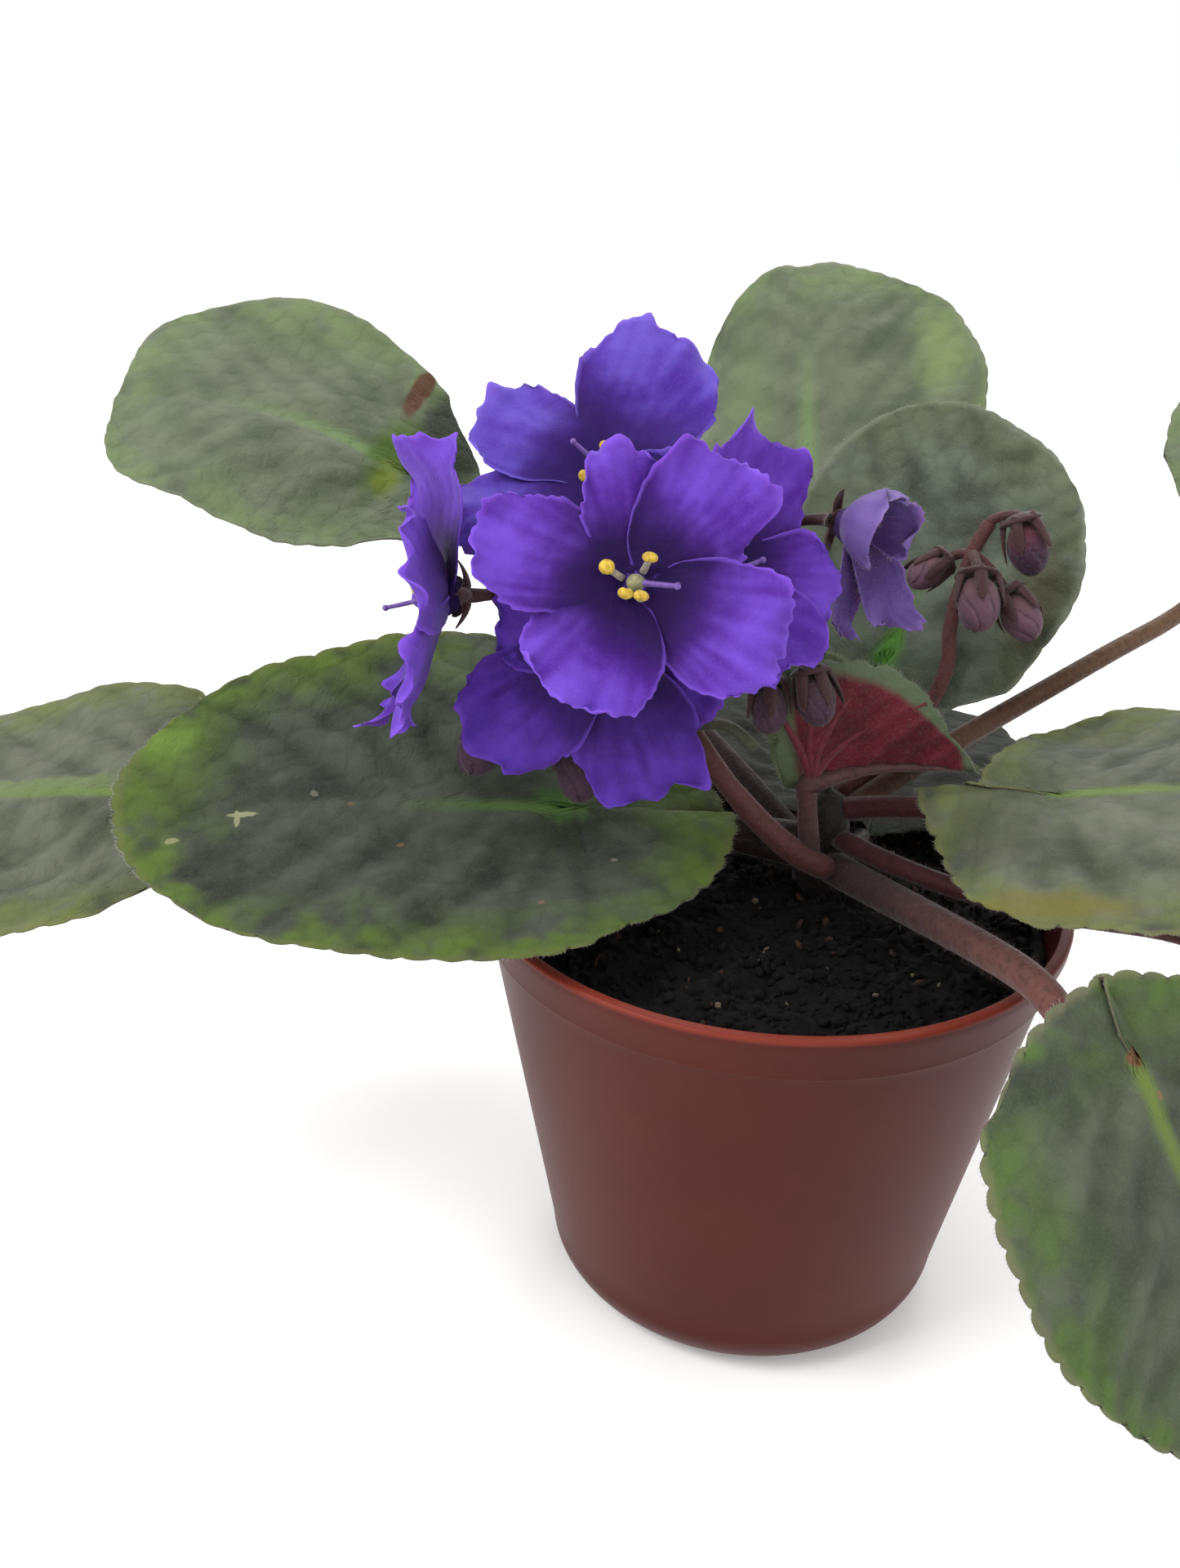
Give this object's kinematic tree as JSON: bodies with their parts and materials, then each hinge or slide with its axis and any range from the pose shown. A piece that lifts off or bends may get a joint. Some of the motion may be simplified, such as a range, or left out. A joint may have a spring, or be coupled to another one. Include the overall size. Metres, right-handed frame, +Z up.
{
  "type": "potted african violet",
  "caption": "Potted African violet: a rosette of stalked, scalloped, hairy leaves round a short crown, with clusters of ruffled violet blooms and buds, growing in a tapered plastic nursery pot.",
  "frame": {"origin": "centre of the pot's flat underside, on the pot's axis", "axes": "+Z up along the pot's axis, -Y towards the side that the blooms face, +X to the right as seen from that side"},
  "size_m": [0.3096, 0.2206, 0.1745],
  "materials": {
    "pot_plastic": "satin reddish brown",
    "potting_mix": "moist near-black crumbs of peat and bark",
    "leaf": "soft grey-green leaf with short white hairs, crimson underneath on the young leaf",
    "stem": "brownish pink hairy stalk",
    "petal": "velvety violet petal, darker at the throat",
    "petal_pale": "pale violet hairy petal of a bloom that is still opening",
    "ovary": "pale green, with a violet style",
    "anther": "matt pollen yellow",
    "bud": "dark violet closed petals with white hairs"
  },
  "bodies": {
    "root": {"bloom_back": "petal", "bloom_back_pistil": "ovary", "bloom_back_stamens": "anther", "bloom_front": "petal", "bloom_front_pistil": "ovary", "bloom_front_stamens": "anther", "bloom_left": "petal", "bloom_left_pistil": "ovary", "bloom_left_stamens": "anther", "bloom_low": "petal", "bloom_low_pistil": "ovary", "bloom_low_stamens": "anther", "bloom_opening": "petal_pale", "bloom_right": "petal", "bloom_right_pistil": "ovary", "bloom_right_stamens": "anther", "bud_main_1": "bud", "bud_main_2": "bud", "bud_main_3": "bud", "bud_main_4": "bud", "bud_right_1": "bud", "bud_right_2": "bud", "bud_right_3": "bud", "bud_right_4": "bud", "crown": "stem", "flower_stalk_main": "stem", "flower_stalk_right": "stem", "leaf_back": "leaf", "leaf_back_inner": "leaf", "leaf_back_left": "leaf", "leaf_back_low": "leaf", "leaf_back_right": "leaf", "leaf_front_left": "leaf", "leaf_front_right": "leaf", "leaf_left": "leaf", "leaf_right": "leaf", "leaf_right_low": "leaf", "leaf_young": "leaf", "pot": "pot_plastic", "soil": "potting_mix"}
  },
  "joints": []
}
